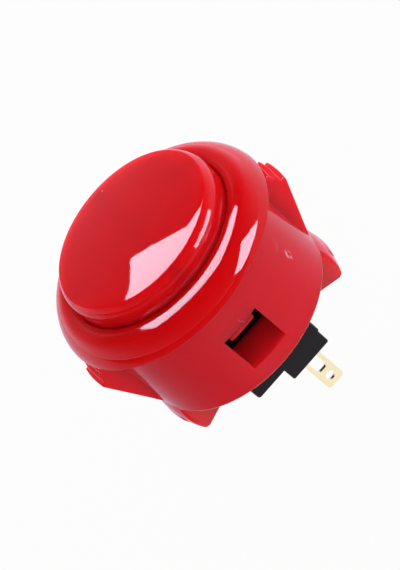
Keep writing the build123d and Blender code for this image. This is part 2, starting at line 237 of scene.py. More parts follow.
# A faint pale arc of painted reflection on the barrel
PAINTED_REFLECTION_ARC = (
    ((10.74, -9.44, -4.34), (10.47, -9.74, -5.23), 0.35, 0.04),
    ((10.50, -9.71, -5.10), (9.93, -10.29, -5.22), 0.38, 0.05),
)
SCRATCH = (
    ((0.67, -14.28, -4.42), (0.49, -14.29, -4.71), 0.05, 0.1),
    ((0.49, -14.29, -4.69), (0.39, -14.29, -5.11), 0.06, 0.18),
    ((0.39, -14.29, -5.10), (0.75, -14.28, -5.36), 0.055, 0.18),
)
HOOK_SCRATCH = (
    ((0.75, -14.28, -5.32), (0.83, -14.28, -6.24), 0.06, 0.2),
    ((0.24, -14.30, -5.99), (-0.12, -14.30, -6.09), 0.05, 0.12),
    ((-0.12, -14.30, -6.09), (-0.49, -14.29, -6.04), 0.07, 0.2),
)
SPECKS = (
    ((0.91, 10.13, 6.81), (0.91, 10.21, 6.81), 0.08, 0.5),
    ((-11.97, -0.40, 6.3), (-11.97, -0.32, 6.3), 0.09, 0.4),
)


def polish(s, smudge, rough):
    """The gloss of a moulding that ripples very slightly."""
    s.join(Roughness=s.varied(s.noise(*smudge), *rough))
    s.join(Normal=s.bump(s.noise(*RIPPLE), *RIPPLE_RELIEF))


def plunger_red():
    """The glossy plunger, with specks on its cap and scratches on its hook."""
    s = Shader("plunger_red")
    marks = s.streaks(SPECKS + HOOK_SCRATCH)
    s.join(Base_Color=s.blend(marks, s.blend(s.noise(*CLOUD), *RED), PALE_WEAR_GLINT_AND_REFLECTION))
    polish(s, CAP_SMUDGE, CAP_ROUGH)
    s.set(IOR=PLASTIC_IOR, Specular_IOR_Level=0.38, **GLOW)
    return s.material


def rim_red():
    """The glossy rim of the housing, its red made darker as painted shade."""
    s = Shader("housing_gloss")
    s.join(Base_Color=s.blend(s.noise(*CLOUD), *SHADED_RIM_RED))
    polish(s, RIM_SMUDGE, RIM_ROUGH)
    s.set(IOR=PLASTIC_IOR, Specular_IOR_Level=0.5, **GLOW)
    return s.material


def barrel_red():
    """The satin part of the housing, pale where it is scratched, with a painted glint on a nick and a
    painted reflection arc.
    """
    s = Shader("housing_satin")
    # Marks: real scratches, plus a nick and an arc that carry a painted glint and a painted reflection
    marks = s.streaks(NICK_AND_GLINT + PAINTED_REFLECTION_ARC + SCRATCH + HOOK_SCRATCH)
    s.join(Base_Color=s.blend(marks, s.blend(s.noise(*CLOUD), *SATIN_RED_AND_REFLECTION), PALE_WEAR_GLINT_AND_REFLECTION))
    s.join(Roughness=s.varied(s.noise(*BARREL_SMUDGE), *BARREL_ROUGH))
    grain = s.bump(s.noise(*BARREL_GRAIN), *BARREL_RELIEF)
    s.join(Normal=s.bump(marks, *WEAR_RELIEF, grain))
    s.set(IOR=PLASTIC_IOR, Specular_IOR_Level=0.4, **GLOW, **SHEEN)
    return s.material


def black_plastic(name, shade, rough):
    """A black moulding with a fine grain."""
    s = Shader(name)
    dark = tuple(BLACK_DARKER * c for c in shade)
    s.join(Base_Color=s.blend(s.noise(*BLACK_CLOUD), dark, shade))
    smudge = s.noise(*BLACK_SMUDGE)
    s.join(Roughness=s.varied(smudge, rough - BLACK_SPREAD, rough + BLACK_SPREAD))
    s.join(Normal=s.bump(s.noise(*BLACK_GRAIN), *BLACK_RELIEF))
    s.set(Specular_IOR_Level=0.14)
    return s.material


def metal(name, first, second, rough, stretch):
    """A metal between two shades, with lines where its noise is stretched."""
    s = Shader(name)
    lines = s.noise(*METAL_LINES, stretch)
    s.join(Base_Color=s.blend(s.noise(*METAL_CLOUD), first, second))
    s.join(Roughness=s.varied(lines, rough - METAL_SPREAD, rough + METAL_SPREAD))
    s.join(Normal=s.bump(lines, *METAL_RELIEF))
    s.set(Metallic=1.0)
    return s.material


materials = {
    "housing": barrel_red(),
    "rim": rim_red(),
    "plunger": plunger_red(),
    "switch_cover": black_plastic("case_black", (0.015, 0.013, 0.015), 0.28),
    "switch_base": black_plastic("base_black", (0.014, 0.012, 0.014), 0.26),
    "switch_actuator": black_plastic("actuator_black", (0.018, 0.017, 0.018), 0.5),
    "return_spring": metal("spring_steel", (0.52, 0.52, 0.53), (0.62, 0.62, 0.63), 0.28, DRAWN),
    "terminal_common": metal("blade_gold", (0.93, 0.79, 0.50), (0.98, 0.88, 0.60), 0.24, DRAWN),
    "contact_leaf": metal("leaf_bronze", (0.64, 0.38, 0.19), (0.72, 0.45, 0.24), 0.3, DRAWN),
    "moving_contact": metal("contact_silver", (0.82, 0.81, 0.79), (0.9, 0.89, 0.87), 0.22, EVEN),
}
materials["terminal_open"] = materials["terminal_common"]
materials["fixed_contact"] = materials["moving_contact"]
for name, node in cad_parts.items():
    node.data.materials.clear()
    node.data.materials.append(materials[name])


# Moulded forms: distance in metres at which points are one, the angle from which an edge is
# sharp, and the steps of a rounded edge
SAME_POINT = 1e-7
SHARP = radians(32.0)
ROUND_STEPS = 3


class Skin:
    """A mesh round the filled cells of a grid of radius, angle and height, open at the top."""

    def __init__(self, size, filled, node):
        self.mesh = bmesh.new()
        self.size = size
        self.filled = filled
        self.node = node
        self.made = {}
        for cell in product(*map(range, size)):
            if filled(*cell):
                self.cover(cell)

    def cover(self, cell):
        """The faces between a filled cell and empty space."""
        for axis in range(3):
            for way in (-1, 1):
                beside = list(cell)
                beside[axis] += way
                if beside[2] < self.size[2] and not self.solid(*beside):
                    self.face(cell, axis, way)

    def solid(self, i, j, k):
        """Whether a cell is within the grid and filled."""
        lines, columns, rows = self.size
        return 0 <= i < lines and 0 <= k < rows and self.filled(i, j % columns, k)

    def vertex(self, i, j, k):
        """The mesh's vertex at a point of the grid, made when first asked for."""
        key = (i, j % self.size[1], k)
        if key not in self.made:
            self.made[key] = self.mesh.verts.new(Vector(self.node(*key)) * MM)
        return self.made[key]

    def face(self, cell, axis, way):
        """One side of a cell, facing out."""
        first = (axis + 1) % 3
        second = (axis + 2) % 3
        corners = []
        for a, b in ((0, 0), (1, 0), (1, 1), (0, 1)):
            at = list(cell)
            at[axis] += 1 if way > 0 else 0
            at[first] += a
            at[second] += b
            corners.append(self.vertex(*at))
        if way < 0:
            corners.reverse()
        self.mesh.faces.new(corners)

    def rounded(self, name, widest, weight):
        """The finished piece, its sharp edges rounded by weight times the widest round."""
        mesh = self.mesh
        bmesh.ops.remove_doubles(mesh, verts=mesh.verts, dist=SAME_POINT)
        bmesh.ops.dissolve_degenerate(mesh, edges=mesh.edges, dist=SAME_POINT)
        layer = mesh.edges.layers.float.new("bevel_weight_edge")
        for edge in mesh.edges:
            if len(edge.link_faces) == 2 and edge.calc_face_angle(0.0) > SHARP:
                start, end = [v.co / MM for v in edge.verts]
                edge[layer] = weight(start, end)
        return finished(name, mesh, widest)


def finished(name, mesh, widest):
    """A smooth object from a mesh, with rounds where its edges have a weight."""
    data = bpy.data.meshes.new(name)
    mesh.to_mesh(data)
    mesh.free()
    data.shade_smooth()
    piece = bpy.data.objects.new(name, data)
    bpy.context.scene.collection.objects.link(piece)
    if widest:
        bevel = piece.modifiers.new("edges", "BEVEL")
        bevel.limit_method = "WEIGHT"
        bevel.width = widest * MM
        bevel.segments = ROUND_STEPS
        bevel.use_clamp_overlap = False
        bevel.miter_outer = "MITER_ARC"
    even = piece.modifiers.new("normals", "WEIGHTED_NORMAL")
    even.mode = "FACE_AREA"
    even.keep_sharp = True
    return piece


def place(piece, body, slot, *nodes):
    """A piece set on its body in place of its nodes; the slot is not used."""
    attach(piece, body)
    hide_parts(*nodes)


def around(counts):
    """Columns round the whole circle as (quadrant, interval, share), from counts in one quadrant."""
    quarter = [(n, t / count) for n, count in enumerate(counts) for t in range(count)]
    last = (len(counts) - 1, 1.0)
    backward = [last] + quarter[:0:-1]
    return [(q, *c) for q in range(4) for c in (backward if q % 2 else quarter)]


def column_angle(column, breaks):
    """The angle of a column, from the breaks of one quadrant at its radius."""
    quadrant, interval, share = column
    inside = breaks[interval] + share * (breaks[interval + 1] - breaks[interval])
    turned = pi - inside if quadrant in (1, 3) else inside
    return turned + (pi if quadrant > 1 else 0.0)


def column_regions(columns):
    """The interval of each cell between a column and the next."""
    regions = []
    for here, after in zip(columns, columns[1:] + columns[:1]):
        regions.append(min(here[1], after[1]) if here[0] % 2 else here[1])
    return regions


def polar(radius, angle, height):
    """A point from its radius, angle and height."""
    return (radius * cos(angle), radius * sin(angle), height)


def arc(centre_r, centre_z, radius, start, end, count):
    """Points of a circle in the (radius, height) plane, angles in degrees."""
    steps = [radians(start + (end - start) * n / count) for n in range(count + 1)]
    return [(centre_r + radius * cos(a), centre_z + radius * sin(a)) for a in steps]


def circle_through(first, second, third):
    """The centre and radius of the circle through three points."""
    (ax, ay), (bx, by), (cx, cy) = first, second, third
    turn = 2 * (ax * (by - cy) + bx * (cy - ay) + cx * (ay - by))
    a2, b2, c2 = ax**2 + ay**2, bx**2 + by**2, cx**2 + cy**2
    x = (a2 * (by - cy) + b2 * (cy - ay) + c2 * (ay - by)) / turn
    y = (a2 * (cx - bx) + b2 * (ax - cx) + c2 * (bx - ax)) / turn
    return x, y, ((ax - x) ** 2 + (ay - y) ** 2) ** 0.5


def out_of(circle, z):
    """The outer radius of a circle in the (radius, height) plane at a height."""
    x, y, size = circle
    return x + max(size**2 - (z - y) ** 2, 0.0) ** 0.5


def off_axis(angle):
    """How far an angle is from the nearer end of the X axis."""
    return atan2(abs(sin(angle)), abs(cos(angle)))


def turned_rings(mesh, path, angles):
    """Rings of points on a turned form, one for each (radius, height) of its path."""
    return [[mesh.verts.new(Vector(polar(r, a, z)) * MM) for a in angles] for r, z in path]


def strip(mesh, rings):
    """Quads between rings, facing the angle's direction crossed with the path's."""
    for low, high in zip(rings, rings[1:]):
        count = len(low)
        for j in range(count):
            n = (j + 1) % count
            mesh.faces.new((low[j], low[n], high[n], high[j]))


def turned(mesh, path, count):
    """A closed turned form from a (radius, height) path whose ends lie close to the axis."""
    rings = turned_rings(mesh, path, [2 * pi * j / count for j in range(count)])
    strip(mesh, rings)
    mesh.faces.new(list(reversed(rings[0])))
    mesh.faces.new(rings[-1])


def box(mesh, low, high):
    """A closed box between two corners."""
    made = bmesh.ops.create_cube(mesh, size=1.0)["verts"]
    for v in made:
        v.co = Vector([(a + b) / 2 + c * (b - a) for a, b, c in zip(low, high, v.co)]) * MM


# Housing: barrel, bore, and the rim with its crest and the lip that falls to the bore
BARREL = 14.3
BORE = 12.55
RIM = 16.7
RIM_TOP = 3.6
LIP = 1.15
LIP_END = 135.0
LIP_STEPS = 12
BORE_DRAFT = 0.08
CREST = BORE + LIP
CREST_ROUND = 2.25
CREST_END = 45.0
RIM_STEPS = 24
UNDER_STEPS = 4
BARREL_FOOT = -14.5
FOOT_EDGE = 0.25
FOOT_EDGE_STEPS = 4
HOUSING_ROUND = 0.09

# Windows, and the floor with its oblong opening, the neck, given by half its sides
WINDOW_HALF = 2.9
WINDOW_TOP = -5.7
FLOOR_TOP = -11.9
FLOOR_UNDER = -13.4
NECK = (5.25, 7.8)

# Wings: slots beside them, ledges as (radius, height), and a flank that leans in to the toe
WING_HALF = 2.5
SLOT_HALF = 3.2
SLOT_TOP = -1.4
WING_ROOT = -11.5
LEDGES = ((16.5, -2.1), (17.1, -3.1), (17.7, -4.1))
WING_TOP = LEDGES[0][1]
WING_TIP = LEDGES[-1][0]
FLANK_TOP = -4.6
FLANK_FOOT = (14.2, -13.45)
FLANK_FALL = (WING_TIP - FLANK_FOOT[0]) / (FLANK_TOP - FLANK_FOOT[1])
TOE = FLANK_TOP - (WING_TIP - BARREL) / FLANK_FALL

# Where edges run out at a wing's toe: up to a height, and within a depth of the barrel's outside
TOE_TOP = -12.0
TOE_DEPTH = 0.05

# Feet, the core in each, the groove in each and the bead on each
FOOT_UNDER = -19.6
FOOT_ANGLE = radians(21.0)
FOOT_INNER = 5.98
FOOT_WALL = 1.5
FOOT_ROUND = 0.5
FOOT_ROUND_STEPS = 5
FOOT_LINE = ((13.75, -12.65), (14.62, -16.9), (14.0, -19.6))
FOOT_START = -14.13
CORE_ANGLE = FOOT_ANGLE - FOOT_WALL / BORE
CORE_TOP = -16.0
GROOVE = (5.85, -17.5, 0.53)
GROOVE_END = degrees(acos((FOOT_INNER - GROOVE[0]) / GROOVE[2]))
GROOVE_STEPS = 8
BEAD_HALF = 3.3
BEAD_ANGLE = asin(BEAD_HALF / BARREL)
BEAD_LINE = ((BARREL, -15.6), (14.75, -16.9), (BARREL, -18.2))

# The housing's grid: its lines from the neck out to the barrel, and the share of the way to the
# bore that each takes where there is no foot
NECK_LINE, BACK_LINE, CORE_LINE, BORE_LINE, OUTER_LINE = range(5)
LINE_SHARE = 0.15

# Regions of a quadrant by number, from a wing round to a window, and the columns in each
WING, SLOT, CORE_END, FOOT_END, WINDOW = 0, 1, 2, 4, 7
HOUSING_COUNTS = (8, 3, 2, 4, 5, 20, 16, 8)

# A break at no edge, and the heights of further rows that a curve or a long wall needs
MIDDLE_BREAK = radians(17.0)
FURTHER_ROWS = (-18.7, -18.35, -16.7, -16.4, -16.2, -15.7, -15.3, -14.9, -12.6, -9.5, -7.5)


def barrel_breaks(radius):
    """Angles between the regions of a quadrant, from the floor up."""
    return [
        0.0,
        asin(WING_HALF / radius),
        asin(SLOT_HALF / radius),
        MIDDLE_BREAK,
        FOOT_ANGLE - FOOT_ROUND / BARREL,
        FOOT_ANGLE,
        atan2(NECK[1], NECK[0]),
        pi / 2 - asin(WINDOW_HALF / radius),
        pi / 2,
    ]


def foot_breaks():
    """Angles between the regions of a quadrant, below the floor."""
    return [0.0, asin(WING_HALF / BARREL), BEAD_ANGLE, CORE_ANGLE] + barrel_breaks(BARREL)[4:]


# Curves of the housing: radius by height in the groove and on the barrel's lower edge, and the
# circles of a foot's and a bead's outside
groove_line = {z: r for r, z in arc(*GROOVE, -GROOVE_END, GROOVE_END, GROOVE_STEPS)}
low_edge = arc(BARREL - FOOT_EDGE, BARREL_FOOT + FOOT_EDGE, FOOT_EDGE, -90.0, 0.0, FOOT_EDGE_STEPS)
edge_line = {z: r for r, z in low_edge}
foot_circle = circle_through(*FOOT_LINE)
bead_circle = circle_through(*BEAD_LINE)


def grid_rows():
    """Heights of the housing's rows, from under the feet up to the rim."""
    rows = [FOOT_UNDER + FOOT_ROUND * t / FOOT_ROUND_STEPS for t in range(FOOT_ROUND_STEPS + 1)]
    rows += [*FURTHER_ROWS, *groove_line, *edge_line]
    rows += [CORE_TOP, FOOT_START, FLOOR_UNDER, TOE, FLOOR_TOP, WING_ROOT, WINDOW_TOP, FLANK_TOP]
    rows += [z for _, z in LEDGES] + [SLOT_TOP, 0.0]
    return sorted(rows)


housing_columns = around(HOUSING_COUNTS)
housing_regions = column_regions(housing_columns)
housing_rows = grid_rows()


def foot_radius(angle, z):
    """The outside of a foot, with round sides, a round lower edge and its bead."""
    side = FOOT_ROUND - (FOOT_ANGLE - angle) * BARREL
    under = FOOT_ROUND - (z - FOOT_UNDER)
    into = min(max(side, under, 0.0), FOOT_ROUND)
    radius = out_of(foot_circle, z) - FOOT_ROUND + (FOOT_ROUND**2 - into**2) ** 0.5
    on_bead = angle < BEAD_ANGLE + NEAR and BEAD_LINE[2][1] < z < BEAD_LINE[0][1]
    return max(radius, out_of(bead_circle, z)) if on_bead else radius


def outside(angle, z):
    """The outside of the barrel and of the feet below it."""
    barrel = edge_line.get(z, BARREL if z > BARREL_FOOT else 0.0)
    on_foot = angle < FOOT_ANGLE + NEAR and z < FOOT_START - NEAR
    return max(barrel, foot_radius(angle, z)) if on_foot else barrel


def wing_radius(ledge, z):
    """The outside of a wing at one of its ledges."""
    full = LEDGES[ledge][0]
    lean = 1.0 if z >= FLANK_TOP else 1.0 - (FLANK_TOP - z) * FLANK_FALL / (WING_TIP - BARREL)
    return BARREL + (full - BARREL) * max(lean, 0.0)


def inner_radius(line, angle, z):
    """The radius of a line inside the bore, at the neck, or at a foot's back or core."""
    neck = min(NECK[0] / max(abs(cos(angle)), TINY), NECK[1] / max(abs(sin(angle)), TINY))
    if line == NECK_LINE:
        return neck
    if off_axis(angle) < FOOT_ANGLE + NEAR:
        back = groove_line.get(z, FOOT_INNER) / abs(cos(angle))
        return back if line == BACK_LINE else FOOT_INNER + FOOT_WALL
    return neck + (BORE - neck) * LINE_SHARE * line


def housing_node(i, j, k):
    """A point of the housing's grid."""
    z = housing_rows[k]
    column = housing_columns[j]
    if i > OUTER_LINE:
        radius = wing_radius(i - OUTER_LINE - 1, z)
        return polar(radius, column_angle(column, barrel_breaks(radius)), z)
    above = z > FLOOR_UNDER - NEAR
    breaks = barrel_breaks(BARREL if i == OUTER_LINE else BORE) if above else foot_breaks()
    angle = column_angle(column, breaks)
    if i == OUTER_LINE:
        return polar(outside(off_axis(angle), z), angle, z)
    if i == BORE_LINE:
        return polar(BORE, angle, z)
    return polar(inner_radius(i, angle, z), angle, z)


def wall_filled(region, z):
    """Whether the barrel's wall, or the foot below it, is solid there."""
    if z < BARREL_FOOT:
        return region <= FOOT_END
    if region == SLOT:
        return not WING_ROOT < z < SLOT_TOP
    if region == WING:
        return not WING_TOP < z < SLOT_TOP
    return not (region == WINDOW and FLOOR_TOP < z < WINDOW_TOP)


def housing_filled(i, j, k):
    """Whether a cell of the housing's grid is solid."""
    z = (housing_rows[k] + housing_rows[k + 1]) / 2
    region = housing_regions[j]
    if i > BORE_LINE:
        return region == WING and TOE < z < LEDGES[i - OUTER_LINE][1]
    if i == BORE_LINE:
        return wall_filled(region, z)
    if z > FLOOR_UNDER:
        return z < FLOOR_TOP
    cored = i == CORE_LINE and region <= CORE_END and z < CORE_TOP
    return i > NECK_LINE and region <= FOOT_END and not cored


def rim_path():
    """The rim's line from its underside over flank, crest and lip to the bore."""
    crest = arc(CREST, RIM_TOP - CREST_ROUND, CREST_ROUND, CREST_END, 90.0, RIM_STEPS)
    (r, z), turn = crest[0], radians(CREST_END)
    size = ((RIM - r) ** 2 + z**2) / (2 * (z * sin(turn) - (RIM - r) * cos(turn)))
    flank_r, flank_z = r - size * cos(turn), z - size * sin(turn)
    start = degrees(atan2(-flank_z, RIM - flank_r))
    path = [(BARREL + (RIM - BARREL) * t / UNDER_STEPS, 0.0) for t in range(1, UNDER_STEPS)]
    path += arc(flank_r, flank_z, size, start, CREST_END, RIM_STEPS)
    lip_round = -(LIP + BORE_DRAFT) / cos(radians(LIP_END))
    lip = arc(CREST, RIM_TOP - lip_round, lip_round, 90.0, LIP_END, LIP_STEPS)
    return path + crest[1:] + lip[1:]


def housing_skin():
    """The skin of the housing's grid, closed at the top by the rim."""
    count = len(housing_columns)
    top = len(housing_rows) - 1
    skin = Skin((OUTER_LINE + len(LEDGES), count, top), housing_filled, housing_node)
    angles = [column_angle(c, barrel_breaks(BARREL)) for c in housing_columns]
    rings = [[skin.vertex(OUTER_LINE, j, top) for j in range(count)]]
    rings += turned_rings(skin.mesh, rim_path(), angles)
    rings.append([skin.vertex(BORE_LINE, j, top) for j in range(count)])
    strip(skin.mesh, rings)
    return skin


def housing_weight(start, end):
    """A fine round on every edge but those that run out at a wing's toe."""
    middle = (start + end) / 2
    toe = FOOT_START < middle.z < TOE_TOP and middle.xy.length > BARREL - TOE_DEPTH
    return 0.0 if toe else 1.0


# The rim is glossy from just above its underside, in metres, and the rest of the housing satin
GLOSS_START = 1e-6
housing = housing_skin().rounded("housing_shell", HOUSING_ROUND, housing_weight)
housing.data.materials.append(materials["housing"])
housing.data.materials.append(materials["rim"])
for face in housing.data.polygons:
    face.material_index = 1 if face.center.z > GLOSS_START else 0
place(housing, "housing", "housing_red", "housing")


# Plunger: skirt and cap, whose shoulder sweeps over arcs of (radius, end in degrees, steps)
PLUNGER = 12.4
SKIRT_INNER = 11.0
SKIRT_FOOT = -3.0
SIDE_TOP = 5.06
SIDE_STEPS = 5
SWEEPS = ((2.2, 45.0, 14), (0.2, 82.5, 10), (17.5, 86.1, 6))
DOME_STEPS = 50
CAP_UNDER = 5.0
CAP_MIDDLE = 5.75
CAP_BEVEL = 0.6
CAP_CENTRE = 0.4

# Hook legs and the slots beside them
LEG_HALF = 2.05
LEG_SLOT = 2.85
LEG_SIDE = 0.5
SLOT_CEILING = 0.6
HOOK = 14.15
HOOK_TOP = -5.78
HOOK_FOOT = -6.83
HOOK_CHAMFER = 0.45
HOOK_CORNER = 0.42

# Which edges are a leg's lower corners, by distance and by the share of their run along Y, and
# the share of the corners' round that other edges get
CORNER_SLACK = 0.01
CORNER_RUN = 0.9
FINE_SHARE = 0.22

# Push post and ribs under the cap
POST = 2.6
POST_FOOT = -7.2
POST_BORE = 1.3
POST_BORE_TOP = -3.2
POST_SIDES = 48
POST_CENTRE = 0.05
RIB_HALF = 0.5
RIB_FOOT = 1.8
RIB_REACH = 11.7

# The plunger's grid: lines, columns in each region of a quadrant, rows, and the line inside the cap
SKIRT_INSIDE, SKIRT_OUTSIDE, HOOK_OUTSIDE = range(3)
SKIRT, LEG_GAP = 0, 1
PLUNGER_COUNTS = (58, 4, 1, 6)
LEG_ROW = -4.4
SKIRT_ROW = -1.2
PLUNGER_ROWS = (HOOK_FOOT, HOOK_FOOT + HOOK_CHAMFER, HOOK_TOP, LEG_ROW, SKIRT_FOOT, SKIRT_ROW, SLOT_CEILING)
INSIDE_ROW = 2.5
CAP_INSIDE = (
    (CAP_CENTRE, CAP_UNDER),
    (SKIRT_INNER / 2, CAP_UNDER),
    (SKIRT_INNER - CAP_BEVEL, CAP_UNDER),
    (SKIRT_INNER, CAP_UNDER - CAP_BEVEL),
    (SKIRT_INNER, INSIDE_ROW),
)


def plunger_breaks(radius):
    """Angles between the regions of a quadrant."""
    across = (LEG_SLOT, LEG_HALF, LEG_HALF - LEG_SIDE)
    return [0.0] + [pi / 2 - asin(x / radius) for x in across] + [pi / 2]


plunger_columns = around(PLUNGER_COUNTS)
plunger_regions = column_regions(plunger_columns)


def plunger_node(i, j, k):
    """A point of the plunger's grid."""
    hook = HOOK - HOOK_CHAMFER if k == 0 else HOOK
    radius = (SKIRT_INNER, PLUNGER, hook)[i]
    return polar(radius, column_angle(plunger_columns[j], plunger_breaks(radius)), PLUNGER_ROWS[k])


def plunger_filled(i, j, k):
    """Whether a cell of the plunger's grid is solid."""
    z = (PLUNGER_ROWS[k] + PLUNGER_ROWS[k + 1]) / 2
    leg = plunger_regions[j] > LEG_GAP
    if i == SKIRT_OUTSIDE:
        return leg and z < HOOK_TOP
    return leg or (plunger_regions[j] == SKIRT and z > SKIRT_FOOT)


def cap_path():
    """The cap's outer line from the skirt's slots over the sweeps and the dome to the crown."""
    rise = SIDE_TOP - SLOT_CEILING
    path = [(PLUNGER, SLOT_CEILING + rise * t / SIDE_STEPS) for t in range(1, SIDE_STEPS + 1)]
    start = 0.0
    for size, end, count in SWEEPS:
        r, z = path[-1]
        turn = radians(start)
        path += arc(r - size * cos(turn), z - size * sin(turn), size, start, end, count)[1:]
        start = end
    r, z = path[-1]
    dome = r / cos(radians(start))
    return path + arc(0.0, z - dome * sin(radians(start)), dome, start, 90.0, DOME_STEPS)[1:-1]


def plunger_skin():
    """The skin of the plunger's grid, closed at the top by the cap."""
    count = len(plunger_columns)
    top = len(PLUNGER_ROWS) - 1
    skin = Skin((HOOK_OUTSIDE, count, top), plunger_filled, plunger_node)
    mesh = skin.mesh
    angles = [column_angle(c, plunger_breaks(PLUNGER)) for c in plunger_columns]
    outer_roof = [skin.vertex(SKIRT_OUTSIDE, j, top) for j in range(count)]
    inner_roof = [skin.vertex(SKIRT_INSIDE, j, top) for j in range(count)]
    outer = [outer_roof] + turned_rings(mesh, cap_path(), angles)
    strip(mesh, outer)
    mesh.faces.new(outer[-1])
    inner = turned_rings(mesh, CAP_INSIDE, angles) + [inner_roof]
    strip(mesh, inner)
    mesh.faces.new(list(reversed(inner[0])))
    for j in range(count):
        if plunger_regions[j] == LEG_GAP:
            n = (j + 1) % count
            mesh.faces.new((inner_roof[j], inner_roof[n], outer_roof[n], outer_roof[j]))
    return skin


def post_and_ribs(mesh):
    """The push post with its bore, and two ribs that cross under the cap."""
    path = [(POST_CENTRE, POST_BORE_TOP), (POST_BORE, POST_BORE_TOP), (POST_BORE, POST_FOOT)]
    path += [(POST, POST_FOOT), (POST, CAP_MIDDLE), (POST_CENTRE, CAP_MIDDLE)]
    turned(mesh, path, POST_SIDES)
    for x, y in ((RIB_REACH, RIB_HALF), (RIB_HALF, RIB_REACH)):
        box(mesh, (-x, -y, RIB_FOOT), (x, y, CAP_MIDDLE))


def plunger_weight(start, end):
    """A wide round on the hook legs' lower corners, and a fine one elsewhere."""
    middle = (start + end) / 2
    low = middle.z < HOOK_FOOT + CORNER_SLACK
    on_side = abs(abs(middle.x) - LEG_HALF) < CORNER_SLACK
    runs_out = abs((end - start).normalized().y) > CORNER_RUN
    return 1.0 if low and on_side and runs_out else FINE_SHARE


cap = plunger_skin()
post_and_ribs(cap.mesh)
plunger = cap.rounded("plunger_cap", HOOK_CORNER, plunger_weight)
plunger.data.materials.append(materials["plunger"])
place(plunger, "plunger", "plunger_red", "plunger")


# Return spring, which in the real switch shortens as the actuator goes down; here it has one fixed length
SPRING_FOOT = -19.7
SPRING_TOP = -14.2
SPRING_WIRE = 0.175
SPRING_RADIUS = 2.045
SPRING_TURNS = 5
TURN_STEPS = 40
WIRE_SIDES = 12


def spring_mesh():
    """A round wire along a helix."""
    mesh = bmesh.new()
    steps = TURN_STEPS * SPRING_TURNS
    rise = SPRING_TOP - SPRING_FOOT - 2 * SPRING_WIRE
    lead = atan2(rise, 2 * pi * SPRING_RADIUS * SPRING_TURNS)
    rings = []
    for n in range(steps + 1):
        a = 2 * pi * SPRING_TURNS * n / steps
        middle = Vector(polar(SPRING_RADIUS, a, SPRING_FOOT + SPRING_WIRE + rise * n / steps))
        out = Vector((cos(a), sin(a), 0.0))
        upward = Vector((sin(a) * sin(lead), -cos(a) * sin(lead), cos(lead)))
        ring = []
        for m in range(WIRE_SIDES):
            b = 2 * pi * m / WIRE_SIDES
            ring.append(mesh.verts.new((middle + SPRING_WIRE * (cos(b) * out + sin(b) * upward)) * MM))
        rings.append(ring)
    for low, high in zip(rings, rings[1:]):
        for m in range(WIRE_SIDES):
            n = (m + 1) % WIRE_SIDES
            mesh.faces.new((low[m], high[m], high[n], low[n]))
    mesh.faces.new(rings[0])
    mesh.faces.new(list(reversed(rings[-1])))
    return mesh


spring = finished("return_coil", spring_mesh(), 0.0)
spring.data.materials.append(materials["return_spring"])
place(spring, "housing", "spring_steel", "return_spring")
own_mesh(spring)


# Studio: panels that only reflections see, by place as azimuth and elevation in degrees and
# distance, by width and height, or by three corners, and by radiance
PHOTO_UP = Vector((0.767, 0.368, 0.525))
STRAIGHT_UP = Vector((0.0, 0.0, 1.0))
COOL = (0.80, 0.82, 1.0)
OVERHEAD = ((-0.101, 1.262, 1.009), (0.973, 0.877, 1.746), (-0.550, -0.052, 0.976))
OVERHEAD_RADIANCE = 13.0
SIDE_PLACE = (126.0, 0.0, 1.0)
SIDE_SIZE = (0.82, 0.66)
LOW_PLACE = (128.5, -3.1, 0.11)
LOW_SIZE = (0.088, 0.042)
SIDE_RADIANCE = 15.0

# Roof and walls of a light tent round the object, which reflections don't see: half its width,
# the foot of its walls, the turn and radiance of each wall, and the radiance of its roof
TENT = 1.2
TENT_FOOT = -0.03
TENT_WALLS = {
    "tent_front": (180.0, 1.95),
    "tent_back": (0.0, 2.8),
    "tent_left": (-90.0, 0.3),
    "tent_right": (90.0, 1.6),
}
TENT_ROOF = ((-TENT, -TENT, TENT), (TENT, -TENT, TENT), (-TENT, TENT, TENT))
ROOF_RADIANCE = 0.4


def direction(azimuth, elevation):
    """A unit vector, azimuth in degrees from +Y towards +X."""
    a = radians(azimuth)
    e = radians(elevation)
    return Vector((sin(a) * cos(e), cos(a) * cos(e), sin(e)))


def panel(name, corners, radiance, tint, gloss):
    """A flat rectangular light with a right angle at its first corner, facing the object."""
    corner, along, across = [Vector(c) for c in corners]
    x_axis = along - corner
    y_axis = across - corner
    centre = (along + across) / 2
    if x_axis.cross(y_axis).dot(centre) < 0.0:
        x_axis, y_axis = y_axis, x_axis
    width, height = x_axis.length, y_axis.length
    lamp = bpy.data.lights.new(name, "AREA")
    lamp.shape = "RECTANGLE"
    lamp.size, lamp.size_y = width, height
    lamp.energy = radiance * pi * width * height
    lamp.color = tint
    light = bpy.data.objects.new(name, lamp)
    x_axis.normalize()
    y_axis.normalize()
    turn = Matrix((x_axis, y_axis, x_axis.cross(y_axis))).transposed().to_4x4()
    light.matrix_world = Matrix.Translation(centre) @ turn
    light.visible_camera = False
    light.visible_diffuse = not gloss
    light.visible_glossy = gloss
    bpy.context.scene.collection.objects.link(light)
    return light


def upright(spot, up, size):
    """Three corners of a rectangle, square to the line to the object."""
    azimuth, elevation, distance = spot
    width, height = size
    centre = direction(azimuth, elevation) * distance
    out = centre.normalized()
    side = up.cross(out).normalized()
    rise = out.cross(side)
    corner = centre - side * width / 2 - rise * height / 2
    return corner, corner + side * width, corner + rise * height


def wall(turn):
    """Three corners of a side of the tent, from the floor up to the roof."""
    out = direction(turn, 0.0) * TENT
    side = Vector((-out.y, out.x, 0.0))
    foot = out - side + Vector((0.0, 0.0, TENT_FOOT))
    return foot, foot + 2 * side, out - side + Vector((0.0, 0.0, TENT))


def link_plunger(light, state):
    """A light that leaves the plunger out or that nothing else receives."""
    receivers = bpy.data.collections.new(light.name)
    receivers.objects.link(plunger)
    receivers.collection_objects[0].light_linking.link_state = state
    light.light_linking.receiver_collection = receivers


